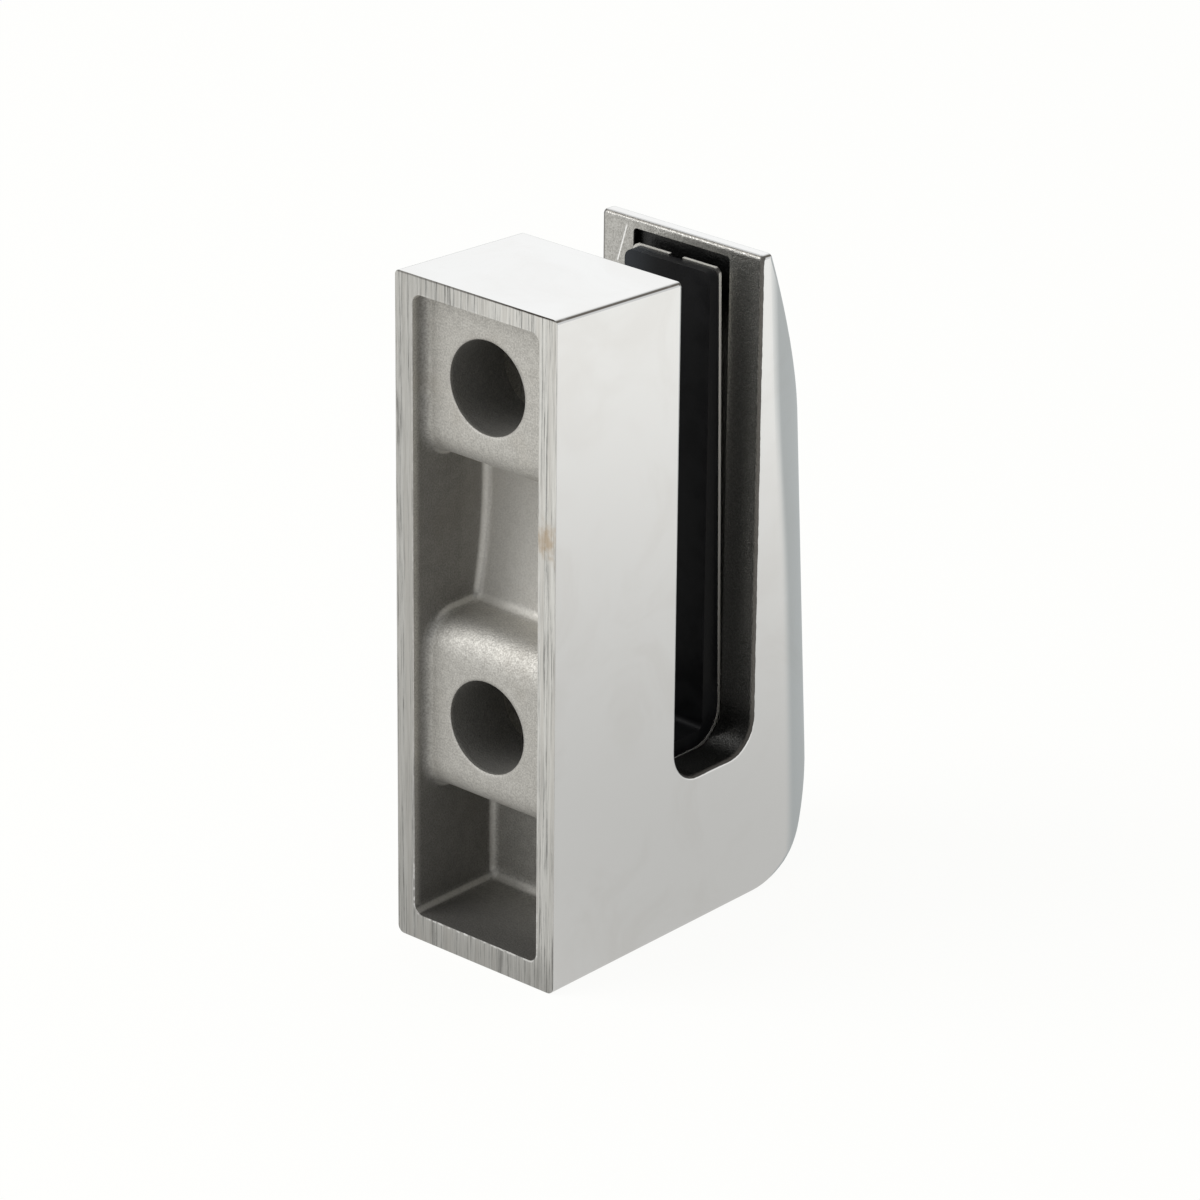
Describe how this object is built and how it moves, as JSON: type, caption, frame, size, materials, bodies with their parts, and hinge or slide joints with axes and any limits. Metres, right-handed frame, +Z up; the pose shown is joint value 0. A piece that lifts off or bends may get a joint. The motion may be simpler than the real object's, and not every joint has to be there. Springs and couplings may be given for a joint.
{
  "type": "side-mounted glass spigot",
  "caption": "Polished cast spigot that is bolted to a wall or slab edge and clamps the lower edge of a glass pane in a rubber-lined slot, with set screws in its front jaw",
  "frame": {"origin": "half way between the two bolt holes, on the faces of their bosses, which lie 2.5 mm inside the wall face", "axes": "+Z up along the wall, +Y out of the back into the wall, X across the spigot; the glass slot lies towards -Y and opens at the top and both sides"},
  "size_m": [0.03, 0.0641, 0.1019],
  "materials": {
    "polished_steel": "mirror polished outside, cast inside",
    "spring_steel": "rolled strip",
    "black_rubber": "matt",
    "screw_steel": "machined"
  },
  "bodies": {
    "body": {"casting": "polished_steel", "liner_strip": "spring_steel", "liner_rubber": "black_rubber"},
    "upper_screw": {"upper_clamp_screw": "screw_steel"},
    "lower_screw": {"lower_clamp_screw": "screw_steel"}
  },
  "joints": [
    {"name": "upper_screw_travel", "type": "slide", "parent": "body", "child": "upper_screw", "axis": [0, 1, 0], "range_m": [-0.003, 0.0024]},
    {"name": "lower_screw_travel", "type": "slide", "parent": "body", "child": "lower_screw", "axis": [0, 1, 0], "range_m": [-0.003, 0.0018]}
  ]
}
